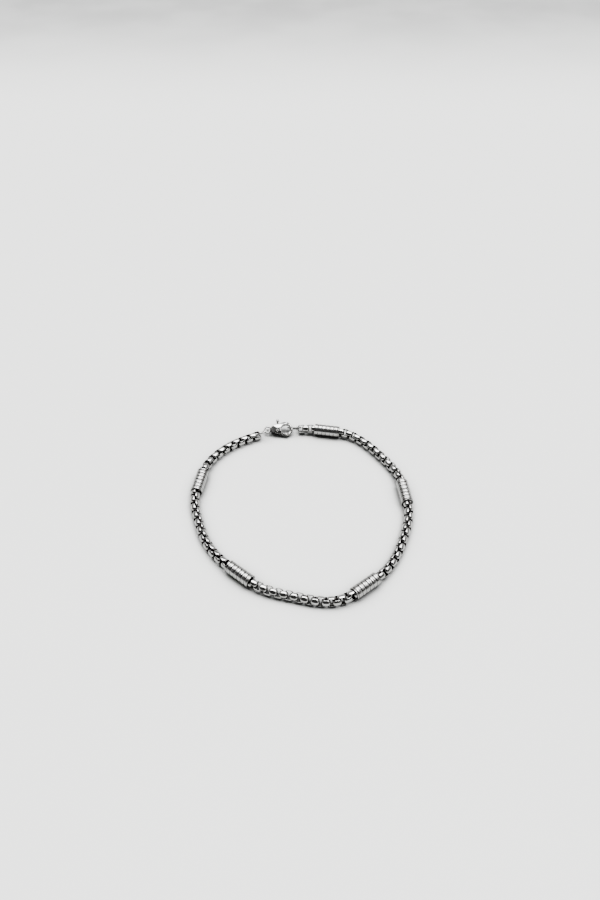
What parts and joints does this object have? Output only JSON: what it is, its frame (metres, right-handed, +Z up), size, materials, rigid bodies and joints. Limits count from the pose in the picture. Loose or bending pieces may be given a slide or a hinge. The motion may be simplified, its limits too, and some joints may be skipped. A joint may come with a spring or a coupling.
{
  "type": "beaded bracelet",
  "caption": "Round box chain bracelet with grooved tube beads, closed in a loop by a lobster clasp on jump rings.",
  "frame": {"origin": "middle of the loop's bounding box, on the surface that the bracelet lies on", "axes": "+Z up from the surface, +Y away from the viewer towards the clasp, +X to the viewer's right"},
  "size_m": [0.072, 0.0734, 0.0041],
  "materials": {
    "chain_steel": "mirror polished",
    "bead_steel": "polished over turned grooves",
    "ring_steel": "bright drawn wire",
    "clasp_steel": "mirror polished"
  },
  "bodies": {
    "bracelet": {"chain": "chain_steel", "tube_bead_1": "bead_steel", "tube_bead_2": "bead_steel", "tube_bead_3": "bead_steel", "tube_bead_4": "bead_steel", "tube_bead_5": "bead_steel", "jump_ring_eye": "ring_steel", "jump_ring_hook": "ring_steel", "clasp_body": "clasp_steel", "clasp_pin": "clasp_steel"},
    "lever": {"clasp_lever": "clasp_steel"}
  },
  "joints": [
    {"name": "lever_pivot", "type": "hinge", "parent": "bracelet", "child": "lever", "pos_m": [-0.00819, 0.03261, 0.00149], "axis": [0.0096, -0.4225, 0.9063], "range_deg": [0, 24], "stiffness_Nm_per_rad": 0.002, "springref_deg": -17.19}
  ]
}
